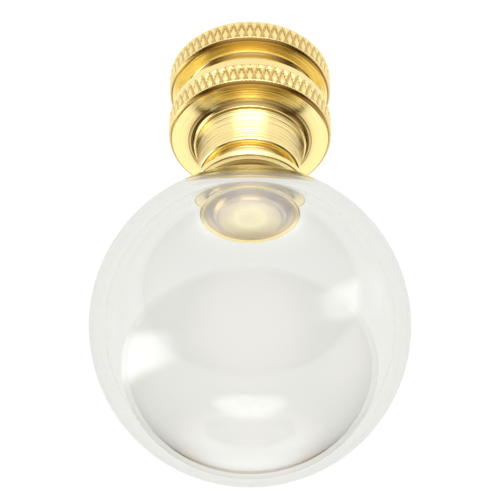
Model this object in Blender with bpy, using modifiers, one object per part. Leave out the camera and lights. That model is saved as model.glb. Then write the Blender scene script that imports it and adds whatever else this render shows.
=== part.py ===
"""Lamp shade finial: a clear glass ball seated on a turned brass base.

Units are metres and +Z is up. The finial stands on the flat underside of its base, with the
origin in the middle of that underside. The base is one turned piece with two knurled grips.
"""

import math

import bmesh
import bpy

BALL_DIAMETER = 0.0300

# Knurled grips, two alike, one above the other
KNURL_DIAMETER = 0.0159
KNURL_DEPTH = 0.00026
KNURL_TEETH = 60
KNURL_ROWS = 2
GRIP_HEIGHT = 0.00265
GRIP_EDGE = 0.00035

# Turned brass body, from the underside upwards
UNDERSIDE_PAD = 0.0001
GRIP_SPACING = 0.0059
CORE_INSET = 0.00015
STEP_ABOVE_GRIP = 0.0001
GROOVE_DIAMETER = 0.0124
GROOVE_FILLET = 0.0004
COLLAR_BELOW_GRIP = 0.0009
COLLAR_FLARE = 0.0009
FOOT_DIAMETER = 0.0107
FOOT_HEIGHT = 0.00075
BEAD_HEIGHT = 0.00025
BEAD_PROUD = 0.00008
VASE_HEIGHT = 0.0035
VASE_TOP_DIAMETER = 0.0098
SHOULDER_HEIGHT = 0.0003
WAIST_DIAMETER = 0.0086
WAIST_HEIGHT = 0.0010
FLARE_HEIGHT = 0.00105
RIM_DIAMETER = 0.0113
RIM_THICKNESS = 0.0006
RIM_ROUNDING = 0.0002

# Seat on the rim, a flared foot with a shallow cup that the ball rests in
SEAT_FOOT_DIAMETER = 0.0102
SEAT_DIAMETER = 0.0064
SEAT_LIP = 0.0002
SEAT_RISE = 0.00135
SEAT_GAP = 0.0003

# Threaded bore, open at the underside
BORE_DIAMETER = 0.00635
BORE_DEPTH = 0.0090
BORE_LEAD_IN = 0.0004

# Facets round each turned piece and along its curves
BODY_STEPS = 48
BALL_STEPS = 40
BALL_ROWS = 20
ARC_ROWS = 5
SHORT_ARC_ROWS = 3
SEAT_ROWS = 4
SLEEVE_OVERLAP = 0.0006
CUTTER_OVERRUN = 0.001
SHARP_DEGREES = 30

KNURL_RADIUS = KNURL_DIAMETER / 2
KNURL_ROOT = KNURL_RADIUS - KNURL_DEPTH
CORE_RADIUS = KNURL_ROOT - CORE_INSET
LOWER_GRIP = UNDERSIDE_PAD
UPPER_GRIP = LOWER_GRIP + GRIP_SPACING
LOWER_GRIP_TOP = LOWER_GRIP + GRIP_HEIGHT
UPPER_GRIP_TOP = UPPER_GRIP + GRIP_HEIGHT
FOOT_BASE = UPPER_GRIP_TOP + STEP_ABOVE_GRIP
VASE_BASE = FOOT_BASE + FOOT_HEIGHT + BEAD_HEIGHT
VASE_TOP = VASE_BASE + VASE_HEIGHT
WAIST_BASE = VASE_TOP + SHOULDER_HEIGHT
FLARE_BASE = WAIST_BASE + WAIST_HEIGHT
RIM_BASE = FLARE_BASE + FLARE_HEIGHT
RIM_TOP = RIM_BASE + RIM_THICKNESS
BALL_RADIUS = BALL_DIAMETER / 2
BALL_CENTRE = RIM_TOP + SEAT_RISE + SEAT_GAP + BALL_RADIUS


def clear_scene():
    for item in list(bpy.data.objects):
        bpy.data.objects.remove(item, do_unlink=True)


def new_collection(name, hidden=False):
    group = bpy.data.collections.new(name)
    bpy.context.scene.collection.children.link(group)
    group.hide_render = hidden
    return group


def material(name, colour, roughness, metallic, transmission=0.0, ior=1.5):
    made = bpy.data.materials.new(name)
    made.use_nodes = True
    shader = made.node_tree.nodes["Principled BSDF"]
    shader.inputs["Base Color"].default_value = (*colour, 1.0)
    shader.inputs["Roughness"].default_value = roughness
    shader.inputs["Metallic"].default_value = metallic
    shader.inputs["Transmission Weight"].default_value = transmission
    shader.inputs["IOR"].default_value = ior
    return made


def polished_brass():
    return material("polished_brass", (0.90, 0.68, 0.30), 0.12, 1.0)


def clear_glass():
    return material("clear_glass", (0.97, 0.98, 0.97), 0.0, 0.0, transmission=1.0, ior=1.5)


def arc(centre, radius, start, end, rows):
    """Points on a circle in the r-z plane, from one angle to another in degrees, both ends in."""
    points = []
    for row in range(rows + 1):
        angle = math.radians(start + (end - start) * row / rows)
        points.append((centre[0] + radius * math.cos(angle), centre[1] + radius * math.sin(angle)))
    return points


def turned(name, profile, steps, group):
    """A profile of (r, z) points, top to bottom down its outer side, turned once round Z."""
    mesh = bpy.data.meshes.new(name)
    verts = [(r, 0.0, z) for r, z in profile]
    mesh.from_pydata(verts, [(i, i + 1) for i in range(len(verts) - 1)], [])
    made = bpy.data.objects.new(name, mesh)
    group.objects.link(made)
    screw = made.modifiers.new("turn", "SCREW")
    screw.axis = "Z"
    screw.angle = math.tau
    screw.steps = steps
    screw.render_steps = steps
    screw.use_merge_vertices = True
    screw.merge_threshold = 1e-6
    screw.use_smooth_shade = True
    return made


def closed_ring(profile):
    """The same profile closed on itself, for a ring that doesn't reach the axis."""
    return profile + profile[:1]


def baked(thing):
    """Replaces an object's mesh and modifiers with what the modifiers make of them."""
    bpy.context.view_layer.update()
    graph = bpy.context.evaluated_depsgraph_get()
    mesh = bpy.data.meshes.new_from_object(thing.evaluated_get(graph))
    thing.modifiers.clear()
    thing.data = mesh
    return thing


def smooth(thing, degrees):
    thing.data.shade_smooth()
    thing.data.set_sharp_from_angle(angle=math.radians(degrees))


def join(target, other, operation):
    step = target.modifiers.new(other.name, "BOOLEAN")
    step.operation = operation
    step.solver = "EXACT"
    step.object = other
    other.hide_render = True
    other.display_type = "WIRE"


def knurl_rows():
    """Heights above a grip's foot: both ends, and the rows where valleys and crests fall."""
    first = GRIP_EDGE
    last = GRIP_HEIGHT - GRIP_EDGE
    inner = [first + (last - first) * row / KNURL_ROWS for row in range(KNURL_ROWS + 1)]
    return [0.0] + inner + [GRIP_HEIGHT]


def share_an_edge(one, other):
    return any(one in edge.verts and other in edge.verts for edge in one.link_edges)


def knurled_grip(name, foot, group):
    """A ring with a diamond knurl: valleys and crests take turns round each row and up it.

    Both helical grooves cross at a valley, so each four-sided face is split from valley to valley.
    The ring's two ends stay at the root, which gives the knurl a chamfer.
    """
    inside = CORE_RADIUS - SLEEVE_OVERLAP
    heights = knurl_rows()
    outer = [(KNURL_ROOT, foot + height) for height in reversed(heights)]
    profile = [(inside, foot + GRIP_HEIGHT)] + outer + [(inside, foot)]
    ring = baked(turned(name, closed_ring(profile), 2 * KNURL_TEETH, group))
    shape = bmesh.new()
    shape.from_mesh(ring.data)
    valleys = set()
    for vert in shape.verts:
        row = min(range(len(heights)), key=lambda i: abs(foot + heights[i] - vert.co.z))
        at_end = row in (0, len(heights) - 1)
        on_outside = math.hypot(vert.co.x, vert.co.y) > (inside + KNURL_ROOT) / 2
        if at_end or not on_outside:
            continue
        column = round(math.atan2(vert.co.y, vert.co.x) / math.tau * 2 * KNURL_TEETH)
        if (column + row) % 2:
            scale = KNURL_RADIUS / KNURL_ROOT
            vert.co.x *= scale
            vert.co.y *= scale
        else:
            valleys.add(vert)
    for face in list(shape.faces):
        pair = [vert for vert in face.verts if vert in valleys]
        if len(pair) == 2 and not share_an_edge(*pair):
            bmesh.utils.face_split(face, pair[0], pair[1])
    bmesh.ops.triangulate(shape, faces=[face for face in shape.faces if len(face.verts) > 3])
    shape.to_mesh(ring.data)
    shape.free()
    return ring


def bent(start, end, rows, turn_first):
    """A quarter turn from one (r, z) to another: it leaves along r if turn_first, along z if not."""
    points = []
    for row in range(rows + 1):
        angle = math.pi / 2 * row / rows
        across, along = math.sin(angle), 1 - math.cos(angle)
        if not turn_first:
            across, along = along, across
        points.append((start[0] + (end[0] - start[0]) * across, start[1] + (end[1] - start[1]) * along))
    return points


def seat():
    """The seat, from the middle of its cup out to the lip and down its flared foot to the rim.

    The cup follows the ball's underside at an even gap.
    """
    reach = BALL_RADIUS + SEAT_GAP
    edge = SEAT_DIAMETER / 2
    points = []
    for row in range(SEAT_ROWS + 1):
        r = edge * row / SEAT_ROWS
        points.append((r, BALL_CENTRE - math.sqrt(reach**2 - r**2)))
    lip = (edge + SEAT_LIP, points[-1][1])
    return points + bent(lip, (SEAT_FOOT_DIAMETER / 2, RIM_TOP), ARC_ROWS, False)


def vase_side():
    """The vase from its shoulder down to its foot, hollowed a little towards the foot."""
    top = VASE_TOP_DIAMETER / 2
    foot = FOOT_DIAMETER / 2
    points = []
    for row in range(ARC_ROWS + 1):
        share = row / ARC_ROWS
        points.append((top + (foot - top) * share**2, VASE_TOP - VASE_HEIGHT * share))
    return points


def body_profile():
    """The brass body's outline, from the middle of the seat to the middle of the underside."""
    rim = RIM_DIAMETER / 2
    waist = WAIST_DIAMETER / 2
    foot = FOOT_DIAMETER / 2
    groove = GROOVE_DIAMETER / 2
    points = seat()
    points += arc((rim - RIM_ROUNDING, RIM_TOP - RIM_ROUNDING), RIM_ROUNDING, 90, 0, SHORT_ARC_ROWS)
    points += bent((rim, RIM_BASE), (waist, FLARE_BASE), ARC_ROWS, True)
    points += bent((waist, WAIST_BASE), (VASE_TOP_DIAMETER / 2, VASE_TOP), SHORT_ARC_ROWS, True)[:-1]
    points += vase_side()
    points += [(foot + BEAD_PROUD, VASE_BASE), (foot + BEAD_PROUD, VASE_BASE - BEAD_HEIGHT)]
    points += bent((foot, FOOT_BASE + FOOT_HEIGHT), (CORE_RADIUS, FOOT_BASE), ARC_ROWS, False)
    collar_base = UPPER_GRIP - COLLAR_BELOW_GRIP
    wall_top = collar_base - COLLAR_FLARE
    wall_foot = LOWER_GRIP_TOP + STEP_ABOVE_GRIP + GROOVE_FILLET
    points += [(CORE_RADIUS, UPPER_GRIP + GRIP_HEIGHT / 2), (CORE_RADIUS, collar_base), (groove, wall_top)]
    fillet_end = (groove + GROOVE_FILLET, wall_foot - GROOVE_FILLET)
    points += bent((groove, wall_foot), fillet_end, SHORT_ARC_ROWS, False)
    points += [(CORE_RADIUS, LOWER_GRIP_TOP + STEP_ABOVE_GRIP), (CORE_RADIUS, 0.0), (0.0, 0.0)]
    return points


def bore_profile():
    radius = BORE_DIAMETER / 2
    mouth = radius + BORE_LEAD_IN
    below = -CUTTER_OVERRUN
    wall = [(radius, BORE_DEPTH), (radius, BORE_LEAD_IN), (mouth, 0.0), (mouth, below)]
    return [(0.0, BORE_DEPTH)] + wall + [(0.0, below)]


def ball_profile():
    points = arc((0.0, BALL_CENTRE), BALL_RADIUS, 90, -90, BALL_ROWS)
    points[0] = (0.0, BALL_CENTRE + BALL_RADIUS)
    points[-1] = (0.0, BALL_CENTRE - BALL_RADIUS)
    return points


def build_base(group, helpers):
    base = turned("base", body_profile(), BODY_STEPS, group)
    join(base, knurled_grip("lower_grip", LOWER_GRIP, helpers), "UNION")
    join(base, knurled_grip("upper_grip", UPPER_GRIP, helpers), "UNION")
    join(base, turned("bore", bore_profile(), BODY_STEPS, helpers), "DIFFERENCE")
    baked(base)
    base.data.materials.clear()
    base.data.materials.append(polished_brass())
    smooth(base, SHARP_DEGREES)
    return base


def build_ball(group):
    ball = baked(turned("ball", ball_profile(), BALL_STEPS, group))
    ball.data.materials.append(clear_glass())
    smooth(ball, SHARP_DEGREES)
    return ball


def main():
    clear_scene()
    finial = new_collection("lamp_shade_finial")
    helpers = new_collection("cutters", hidden=True)
    build_base(finial, helpers)
    build_ball(finial)


main()
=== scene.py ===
"""Looks of the lamp shade finial: a hollow clear glass ball on a knurled, polished brass base."""

import math

import bmesh
import bpy
from mathutils import Matrix, Vector


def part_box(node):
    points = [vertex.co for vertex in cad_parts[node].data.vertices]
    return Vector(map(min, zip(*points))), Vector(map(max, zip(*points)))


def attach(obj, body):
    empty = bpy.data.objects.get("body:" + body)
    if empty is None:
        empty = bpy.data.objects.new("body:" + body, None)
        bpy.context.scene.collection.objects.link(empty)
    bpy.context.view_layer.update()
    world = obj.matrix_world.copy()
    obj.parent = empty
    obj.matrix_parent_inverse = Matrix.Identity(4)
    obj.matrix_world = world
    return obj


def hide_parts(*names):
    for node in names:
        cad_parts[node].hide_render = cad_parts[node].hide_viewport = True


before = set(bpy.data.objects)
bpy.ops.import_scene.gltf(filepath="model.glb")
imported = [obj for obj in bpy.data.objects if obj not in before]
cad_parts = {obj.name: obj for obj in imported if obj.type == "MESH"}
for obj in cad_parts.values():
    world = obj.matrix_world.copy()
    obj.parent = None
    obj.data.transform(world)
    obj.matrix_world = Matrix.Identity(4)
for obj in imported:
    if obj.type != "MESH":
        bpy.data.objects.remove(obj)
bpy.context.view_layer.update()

MM = 0.001

# The camera, fitted to the photograph's circles. It stands over the ball and is held upside down.
CAMERA_BACK = 240.9 * MM
CAMERA_HEIGHT = 242.5 * MM
CAMERA_TILT = 42.3
CAMERA_NEAREST = 10.0 * MM
LENS = 247.2
SENSOR = 36.0

# The floor, which glows a little so that it stays white in the finial's shade
FLOOR_SIZE = 3.0
FLOOR_DROP = 0.2 * MM
FLOOR_GREY = 0.2
FLOOR_GLOW = 0.96

# A pool of light on the floor in front of the finial, which the brass mirrors
POOL_POWER = 52.0
POOL_LAMP = (0.0, -0.052, 0.3)
POOL_MIDDLE = (0.0, -0.052, 0.0)
POOL_DEGREES = 12
POOL_BLEND = 0.6
POOL_SOFTNESS = 0.004

# The dim surround, and bright patches in it: a direction, the angles in degrees from it where the
# patch begins and ends to fade, and its strength
SURROUND = 0.07
SURROUND_COLOUR = (1.0, 0.60, 0.22)
SOFTBOXES = (
    ((0.0, 0.74, 0.67), (12, 42), 1.15),
    ((0.0, -0.74, 0.67), (5, 58), 0.6),
    ((-0.90, 0.10, 0.35), (2, 25), 0.3),
    ((0.0, 0.99, 0.10), (4, 26), 0.6),
)

# A long strip light at the image's left, which fades towards its ends and across its plane
STRIP_MIDDLE = (0.97, 0.30, 0.05)
STRIP_LENGTH_FADE = (14, 50)
STRIP_PLANE_NORMAL = (0.24, -0.65, -0.72)
STRIP_WIDTH_FADE = (5, 14)
STRIP_STRENGTH = 2.8

# Sizes of the brass base and the ball, as in the solids
KNURL_RADIUS = 7.95 * MM
KNURL_DEPTH = 0.26 * MM
KNURL_TEETH = 60
GRIP_HEIGHT = 2.65 * MM
GRIP_EDGE = 0.35 * MM
LOWER_GRIP = 0.1 * MM
GRIP_SPACING = 5.9 * MM
CORE_INSET = 0.15 * MM
STEP_ABOVE_GRIP = 0.1 * MM
GROOVE_RADIUS = 6.2 * MM
GROOVE_FILLET = 0.4 * MM
COLLAR_BELOW_GRIP = 0.9 * MM
COLLAR_FLARE = 0.9 * MM
FOOT_RADIUS = 5.35 * MM
FOOT_HEIGHT = 0.75 * MM
BEAD_HEIGHT = 0.25 * MM
BEAD_PROUD = 0.08 * MM
VASE_HEIGHT = 3.5 * MM
VASE_TOP_RADIUS = 4.9 * MM
SHOULDER_HEIGHT = 0.3 * MM
WAIST_RADIUS = 4.3 * MM
WAIST_HEIGHT = 1.0 * MM
FLARE_HEIGHT = 1.05 * MM
RIM_RADIUS = 5.65 * MM
RIM_THICKNESS = 0.6 * MM
RIM_ROUNDING = 0.2 * MM
SEAT_FOOT_RADIUS = 5.1 * MM
SEAT_RADIUS = 3.2 * MM
SEAT_LIP = 0.2 * MM
SEAT_RISE = 1.35 * MM
SEAT_GAP = 0.3 * MM
BALL_RADIUS = 15.0 * MM
BORE_RADIUS = 3.175 * MM
BORE_DEPTH = 9.0 * MM
BORE_LEAD_IN = 0.4 * MM

# Detail that only the scene has: the knurl's facets, the thread's ridges and the ball's hollow. The
# knurl's cut fades to the least share of its depth at a grip's ends.
KNURL_CUT = 0.22 * MM
KNURL_SLANT = 0.75
CREST_SHARE = 0.65
CUT_START = 0.6
LEAST_CUT = 0.2
THREAD_DEPTH = 0.4 * MM
THREAD_PITCH = 25.4 / 27 * MM
THREAD_STEEPNESS = 1.25
BALL_WALL = 1.5 * MM

# How finely the meshes are divided
COLUMNS_A_TOOTH = 6
GRIP_ROWS = 14
EDGE_ROWS = 3
CUP_ROWS = 14
LIP_ROWS = 4
FLARE_ROWS = 14
RIM_ROWS = 6
SHOULDER_ROWS = 10
VASE_ROWS = 22
FILLET_ROWS = 6
ROWS_A_THREAD = 8
BALL_COLUMNS = 192
BALL_ROWS = 96
SHARP_DEGREES = 28

# Materials
BRASS = (0.95, 0.78, 0.35)
# The dark amber painted in as shade in the knurl's cuts and round the seat's cup, and the share of it
# that the seat's lip and flared foot take
PAINTED_SHADE = (0.50, 0.31, 0.09)
FLANK_PAINTED_SHADE = 0.85
POLISHED = 0.09
SATIN = 0.22
TURNING_SCALE = 5000
TURNING_DETAIL = 3.0
TURNING_STRENGTH = 0.6
TURNING_DEPTH = 0.08 * MM
GLASS_IOR = 1.5
GLASS_TINT = (0.42, 0.47, 0.35)
GLASS_TINT_DENSITY = 100.0
WHITE = (1, 1, 1)

KNURL_ROOT = KNURL_RADIUS - KNURL_DEPTH
CORE_RADIUS = KNURL_ROOT - CORE_INSET
UPPER_GRIP = LOWER_GRIP + GRIP_SPACING
FOOT_BASE = UPPER_GRIP + GRIP_HEIGHT + STEP_ABOVE_GRIP
VASE_BASE = FOOT_BASE + FOOT_HEIGHT + BEAD_HEIGHT
VASE_TOP = VASE_BASE + VASE_HEIGHT
WAIST_BASE = VASE_TOP + SHOULDER_HEIGHT
FLARE_BASE = WAIST_BASE + WAIST_HEIGHT
RIM_BASE = FLARE_BASE + FLARE_HEIGHT
RIM_TOP = RIM_BASE + RIM_THICKNESS
BALL_CENTRE = RIM_TOP + SEAT_RISE + SEAT_GAP + BALL_RADIUS


def arc(centre, radius, start, end, rows):
    """Points on a circle from one angle in degrees to another."""
    points = []
    for row in range(rows + 1):
        angle = math.radians(start + (end - start) * row / rows)
        points.append((centre[0] + radius * math.cos(angle), centre[1] + radius * math.sin(angle)))
    return points


def bent(start, end, rows, turn_first):
    """A quarter turn from one (r, z) to another: it leaves along r if turn_first, along z if not."""
    points = []
    for row in range(rows + 1):
        angle = math.pi / 2 * row / rows
        across, along = math.sin(angle), 1 - math.cos(angle)
        if not turn_first:
            across, along = along, across
        points.append((start[0] + (end[0] - start[0]) * across, start[1] + (end[1] - start[1]) * along))
    return points


def wave(x):
    """0 at whole numbers, 1 half way between them."""
    return 1 - abs(2 * (x % 1) - 1)


def knurl_rise(column, height):
    """How far a grip's surface stands over the knurl's root, at a column and a height on the grip."""
    u = column / COLUMNS_A_TOOTH
    v = KNURL_SLANT * (height - GRIP_EDGE) / (GRIP_HEIGHT - 2 * GRIP_EDGE)
    diamond = min(wave(u + v), wave(u - v)) / CREST_SHARE
    inward = min(height, GRIP_HEIGHT - height) / GRIP_EDGE
    cut = min(1.0, max(LEAST_CUT, inward - CUT_START))
    return min(KNURL_DEPTH * inward, KNURL_DEPTH - KNURL_CUT * cut * (1 - min(1.0, diamond)))


def thread_rise(turn, z):
    """How far a thread's ridge stands in from the bore's wall."""
    fade = max(0.0, min(1.0, (z - BORE_LEAD_IN) / THREAD_PITCH, (BORE_DEPTH - z) / THREAD_PITCH))
    return THREAD_DEPTH * fade * min(1.0, THREAD_STEEPNESS * wave(z / THREAD_PITCH - turn))


def grip_rows(foot):
    """(radius, z, height) rows down the outside of a grip, top to bottom."""
    body = GRIP_HEIGHT - 2 * GRIP_EDGE
    edge = [GRIP_EDGE * row / EDGE_ROWS for row in range(EDGE_ROWS)]
    heights = edge + [GRIP_EDGE + body * row / GRIP_ROWS for row in range(GRIP_ROWS + 1)]
    heights += [GRIP_HEIGHT - height for height in reversed(edge)]
    return [(KNURL_ROOT, foot + height, height) for height in reversed(heights)]


def seat():
    """The seat, from the middle of its cup out to the lip and down its flared foot to the rim."""
    reach = BALL_RADIUS + SEAT_GAP
    points = []
    for row in range(CUP_ROWS + 1):
        r = SEAT_RADIUS * row / CUP_ROWS
        points.append((r, BALL_CENTRE - math.sqrt(reach**2 - r**2)))
    lip_height = points[-1][1]
    centre = (SEAT_RADIUS + SEAT_LIP / 2, lip_height - SEAT_LIP / 2)
    points += arc(centre, SEAT_LIP / 2, 90, 0, LIP_ROWS)
    return points + bent(points[-1], (SEAT_FOOT_RADIUS, RIM_TOP), FLARE_ROWS, False)[1:]


def vase_side():
    """The vase from its shoulder down to its foot, hollowed a little towards the foot."""
    points = []
    for row in range(VASE_ROWS + 1):
        share = row / VASE_ROWS
        r = VASE_TOP_RADIUS + (FOOT_RADIUS - VASE_TOP_RADIUS) * share**2
        points.append((r, VASE_TOP - VASE_HEIGHT * share))
    return points


def base_rows():
    """Rows (r, z, kind, height) from the middle of the seat's cup to the end of the bore."""
    rows = []

    def plain(points):
        rows.extend((r, z, "plain", 0.0) for r, z in points)

    def grip(foot):
        rows.extend((r, z, "knurl", height) for r, z, height in grip_rows(foot))

    plain(seat())
    plain(arc((RIM_RADIUS - RIM_ROUNDING, RIM_TOP - RIM_ROUNDING), RIM_ROUNDING, 90, 0, RIM_ROWS))
    plain(bent((RIM_RADIUS, RIM_BASE), (WAIST_RADIUS, FLARE_BASE), FLARE_ROWS, True))
    plain(bent((WAIST_RADIUS, WAIST_BASE), (VASE_TOP_RADIUS, VASE_TOP), SHOULDER_ROWS, True)[:-1])
    plain(vase_side())
    proud = FOOT_RADIUS + BEAD_PROUD
    plain([(proud, VASE_BASE), (proud, VASE_BASE - BEAD_HEIGHT)])
    plain(bent((FOOT_RADIUS, FOOT_BASE + FOOT_HEIGHT), (CORE_RADIUS, FOOT_BASE), FLARE_ROWS, False))
    plain([(CORE_RADIUS, UPPER_GRIP + GRIP_HEIGHT)])
    grip(UPPER_GRIP)
    plain([(CORE_RADIUS, UPPER_GRIP)])
    collar = UPPER_GRIP - COLLAR_BELOW_GRIP
    low_top = LOWER_GRIP + GRIP_HEIGHT
    wall_foot = low_top + STEP_ABOVE_GRIP + GROOVE_FILLET
    plain([(CORE_RADIUS, collar), (GROOVE_RADIUS, collar - COLLAR_FLARE)])
    fillet_end = (GROOVE_RADIUS + GROOVE_FILLET, wall_foot - GROOVE_FILLET)
    plain(bent((GROOVE_RADIUS, wall_foot), fillet_end, FILLET_ROWS, False))
    plain([(CORE_RADIUS, low_top + STEP_ABOVE_GRIP), (CORE_RADIUS, low_top)])
    grip(LOWER_GRIP)
    plain([(CORE_RADIUS, LOWER_GRIP), (CORE_RADIUS, 0.0)])
    plain([(BORE_RADIUS + BORE_LEAD_IN, 0.0), (BORE_RADIUS, BORE_LEAD_IN)])
    threaded = BORE_DEPTH - BORE_LEAD_IN
    thread_rows = round(threaded / THREAD_PITCH * ROWS_A_THREAD)
    for row in range(1, thread_rows + 1):
        rows.append((BORE_RADIUS, BORE_LEAD_IN + threaded * row / thread_rows, "thread", 0.0))
    plain([(0.0, BORE_DEPTH)])
    return rows


def lathe(name, shells, columns, radius_at):
    """A mesh from shells, each rows of points round Z. A row whose radius is 0 is a single point."""
    shape = bmesh.new()
    for rows in shells:
        rings = []
        for row in rows:
            if row[0] == 0.0:
                rings.append([shape.verts.new((0.0, 0.0, row[1]))])
                continue
            ring = []
            for column in range(columns):
                angle = math.tau * column / columns
                r = radius_at(row, column)
                ring.append(shape.verts.new((r * math.cos(angle), r * math.sin(angle), row[1])))
            rings.append(ring)
        for above, below in zip(rings, rings[1:]):
            for column in range(columns):
                after = (column + 1) % columns
                if len(above) == 1:
                    shape.faces.new((above[0], below[column], below[after]))
                elif len(below) == 1:
                    shape.faces.new((above[column], below[0], above[after]))
                else:
                    shape.faces.new((above[column], below[column], below[after], above[after]))
    mesh = bpy.data.meshes.new(name)
    shape.to_mesh(mesh)
    shape.free()
    mesh.shade_smooth()
    made = bpy.data.objects.new(name, mesh)
    bpy.context.scene.collection.objects.link(made)
    return made


def brass_base():
    """The turned base, with the knurl's facets and the bore's thread."""
    columns = KNURL_TEETH * COLUMNS_A_TOOTH

    def radius_at(row, column):
        r, z, kind, height = row
        if kind == "knurl":
            return r + knurl_rise(column, height)
        if kind == "thread":
            return r - thread_rise(column / columns, z)
        return r

    made = lathe("brass_base", [base_rows()], columns, radius_at)
    made.data.set_sharp_from_angle(angle=math.radians(SHARP_DEGREES))
    return made


def glass_ball():
    """The ball, and the sealed hollow inside it as a second shell that faces inwards."""
    low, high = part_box("ball")
    radius = (high[0] - low[0]) / 2
    centre = high[2] - radius
    inner = radius - BALL_WALL
    outside = arc((0.0, centre), radius, 90, -90, BALL_ROWS)
    outside[0] = (0.0, centre + radius)
    outside[-1] = (0.0, centre - radius)
    inside = arc((0.0, centre), inner, -90, 90, BALL_ROWS)
    inside[0] = (0.0, centre - inner)
    inside[-1] = (0.0, centre + inner)
    return lathe("glass_ball", [outside, inside], BALL_COLUMNS, lambda row, column: row[0])


def principled(name):
    """A new material with its node tree and its shader."""
    made = bpy.data.materials.new(name)
    made.use_nodes = True
    return made, made.node_tree, made.node_tree.nodes["Principled BSDF"]


def added(tree, kind, inputs, **settings):
    """A new node with its settings made, and each of its inputs linked to a socket or set to a value."""
    made = tree.nodes.new("ShaderNode" + kind)
    for name, value in settings.items():
        setattr(made, name, value)
    for name, value in inputs.items():
        if isinstance(value, bpy.types.NodeSocket):
            tree.links.new(value, made.inputs[name])
        else:
            made.inputs[name].default_value = value
    return made


def calculated(tree, operation, one, other):
    """A Math node's result from two values, each a socket or a plain number."""
    return added(tree, "Math", {0: one, 1: other}, operation=operation).outputs["Value"]


def ranged(tree, value, start, end, low, high, **settings):
    """A value that goes from low to high while another goes from start to end."""
    inputs = {"Value": value, "From Min": start, "From Max": end, "To Min": low, "To Max": high}
    return added(tree, "MapRange", inputs, **settings).outputs["Result"]


def mixed(tree, factor, one, other):
    """The first colour at factor 0, the second at 1."""
    inputs = {"Factor": factor, "A": (*one, 1), "B": (*other, 1)}
    return added(tree, "Mix", inputs, data_type="RGBA").outputs["Result"]


def turning_lines(tree, radius, z):
    """Fine rings, whose depth depends on the radius and the height."""
    rings = added(tree, "CombineXYZ", {"X": radius, "Y": z}).outputs["Vector"]
    scale = (TURNING_SCALE, TURNING_SCALE, 1)
    stretched = added(tree, "Mapping", {"Vector": rings, "Scale": scale}).outputs["Vector"]
    noise = added(tree, "TexNoise", {"Vector": stretched, "Scale": 1.0, "Detail": TURNING_DETAIL})
    depth = {"Height": noise.outputs["Fac"], "Strength": TURNING_STRENGTH, "Distance": TURNING_DEPTH}
    return added(tree, "Bump", depth).outputs["Normal"]


def brass():
    """Polished brass with turning lines, satin on the seat, and painted shade in the knurl's cuts and
    round the seat's cup."""
    made, tree, shader = principled("polished_brass")
    place = added(tree, "TexCoord", {})
    split = added(tree, "SeparateXYZ", {"Vector": place.outputs["Object"]})
    z = split.outputs["Z"]
    flat = added(tree, "CombineXYZ", {"X": split.outputs["X"], "Y": split.outputs["Y"]})
    length = added(tree, "VectorMath", {0: flat.outputs["Vector"]}, operation="LENGTH")
    radius = length.outputs["Value"]
    inside = calculated(tree, "LESS_THAN", radius, SEAT_FOOT_RADIUS)
    above = calculated(tree, "GREATER_THAN", z, RIM_TOP - RIM_ROUNDING / 2)
    on_seat = calculated(tree, "MULTIPLY", inside, above)
    # Painted shade: on the grips the colour darkens from near the knurl's crests down to its root, in
    # the cuts
    off_grips = calculated(tree, "LESS_THAN", radius, (CORE_RADIUS + KNURL_ROOT) / 2)
    crest = ranged(tree, radius, KNURL_RADIUS - KNURL_CUT, KNURL_RADIUS - KNURL_CUT / 4, 0.0, 1.0)
    unshaded = calculated(tree, "MAXIMUM", off_grips, crest)
    # Painted shade: on the seat the colour darkens from half the cup's radius out over its lip and down
    # the flared foot
    flank = ranged(tree, radius, SEAT_RADIUS / 2, SEAT_RADIUS + SEAT_LIP, 0.0, FLANK_PAINTED_SHADE)
    seat_shade = calculated(tree, "MULTIPLY", on_seat, flank)
    colour = mixed(tree, calculated(tree, "SUBTRACT", unshaded, seat_shade), PAINTED_SHADE, BRASS)
    roughness = ranged(tree, on_seat, 0.0, 1.0, POLISHED, SATIN)
    shader.inputs["Metallic"].default_value = 1.0
    tree.links.new(colour, shader.inputs["Base Color"])
    tree.links.new(roughness, shader.inputs["Roughness"])
    tree.links.new(turning_lines(tree, radius, z), shader.inputs["Normal"])
    return made


def glass():
    """Clear glass, whose faint tint grows with the length of the light's way through it."""
    made, tree, shader = principled("clear_glass")
    shader.inputs["Base Color"].default_value = (*WHITE, 1)
    shader.inputs["Roughness"].default_value = 0.0
    shader.inputs["IOR"].default_value = GLASS_IOR
    shader.inputs["Transmission Weight"].default_value = 1.0
    tint = tree.nodes.new("ShaderNodeVolumeAbsorption")
    tint.inputs["Color"].default_value = (*GLASS_TINT, 1)
    tint.inputs["Density"].default_value = GLASS_TINT_DENSITY
    tree.links.new(tint.outputs["Volume"], tree.nodes["Material Output"].inputs["Volume"])
    return made


def floor():
    """A plain white floor just under the finial."""
    bpy.ops.mesh.primitive_plane_add(size=FLOOR_SIZE, location=(0, 0, -FLOOR_DROP))
    made = bpy.context.object
    made.name = "floor"
    paint, _, shader = principled("floor_white")
    shader.inputs["Base Color"].default_value = (FLOOR_GREY, FLOOR_GREY, FLOOR_GREY, 1)
    shader.inputs["Roughness"].default_value = 1.0
    shader.inputs["Specular IOR Level"].default_value = 0.0
    shader.inputs["Emission Color"].default_value = (*WHITE, 1)
    shader.inputs["Emission Strength"].default_value = FLOOR_GLOW
    made.data.materials.append(paint)


def camera():
    """The camera, turned over so that the finial hangs down in the picture as in the photograph."""
    tilt = math.radians(CAMERA_TILT)
    ahead = Vector((0, math.cos(tilt), -math.sin(tilt)))
    top = -Vector((0, math.sin(tilt), math.cos(tilt)))
    right = ahead.cross(top)
    turn = Matrix((right, top, -ahead)).transposed()
    data = bpy.data.cameras.new("camera")
    data.lens = LENS
    data.sensor_width = SENSOR
    data.sensor_fit = "HORIZONTAL"
    data.clip_start = CAMERA_NEAREST
    made = bpy.data.objects.new("camera", data)
    made.matrix_world = Matrix.Translation((0, -CAMERA_BACK, CAMERA_HEIGHT)) @ turn.to_4x4()
    bpy.context.scene.collection.objects.link(made)
    bpy.context.scene.camera = made


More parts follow.
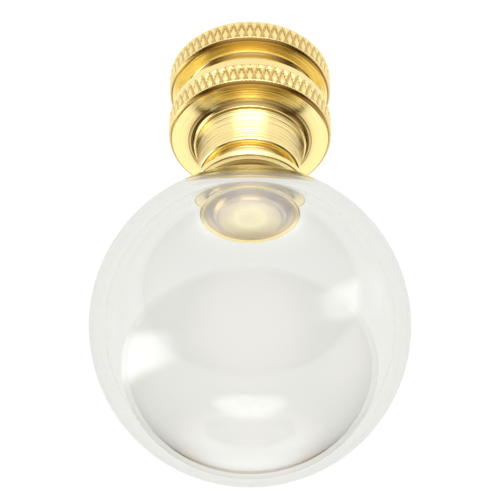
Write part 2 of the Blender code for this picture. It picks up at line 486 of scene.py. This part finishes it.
def patch(tree, place, toward, fade, strength):
    """A soft patch of light: at full strength nearer to a direction than the fade's first angle, and
    dark past its second."""
    ends = {0: place.outputs["Generated"], 1: Vector(toward).normalized()}
    along = added(tree, "VectorMath", ends, operation="DOT_PRODUCT").outputs["Value"]
    inner, outer = (math.cos(math.radians(angle)) for angle in fade)
    return ranged(tree, along, outer, inner, 0.0, strength, interpolation_type="SMOOTHSTEP")


def strip_light(tree, place):
    """A patch of light, cut down to a strip by the angle from its plane on either side."""
    middle = patch(tree, place, STRIP_MIDDLE, STRIP_LENGTH_FADE, STRIP_STRENGTH)
    near_fade = [90 - angle for angle in STRIP_WIDTH_FADE]
    far_fade = [90 + angle for angle in STRIP_WIDTH_FADE]
    near = patch(tree, place, STRIP_PLANE_NORMAL, near_fade, 1.0)
    far = patch(tree, place, STRIP_PLANE_NORMAL, far_fade, 1.0)
    return calculated(tree, "MULTIPLY", middle, calculated(tree, "MULTIPLY", near, far))


def studio():
    """A dim warm surround with a few broad bright patches, whose edges fade."""
    world = bpy.data.worlds.new("studio")
    world.use_nodes = True
    bpy.context.scene.world = world
    tree = world.node_tree
    place = added(tree, "TexCoord", {})
    total = SURROUND
    for toward, fade, strength in SOFTBOXES:
        total = calculated(tree, "ADD", patch(tree, place, toward, fade, strength), total)
    total = calculated(tree, "ADD", strip_light(tree, place), total)
    background = tree.nodes["Background"]
    tree.links.new(mixed(tree, total, SURROUND_COLOUR, WHITE), background.inputs["Color"])
    tree.links.new(total, background.inputs["Strength"])


def pool():
    """A lamp straight over the floor in front of the finial."""
    light = bpy.data.lights.new("pool", "SPOT")
    light.energy = POOL_POWER
    light.spot_size = math.radians(POOL_DEGREES)
    light.spot_blend = POOL_BLEND
    light.shadow_soft_size = POOL_SOFTNESS
    lamp = bpy.data.objects.new("pool", light)
    lamp.location = POOL_LAMP
    lamp.rotation_euler = (Vector(POOL_MIDDLE) - lamp.location).to_track_quat("-Z", "Y").to_euler()
    bpy.context.scene.collection.objects.link(lamp)


def dress():
    """The two pieces, each in the place of its solid."""
    base = brass_base()
    base.data.materials.append(brass())
    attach(base, "root")
    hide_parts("base")
    ball = glass_ball()
    ball.data.materials.append(glass())
    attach(ball, "root")
    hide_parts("ball")


bpy.context.scene.view_settings.view_transform = "Standard"
camera()
dress()
floor()
studio()
pool()
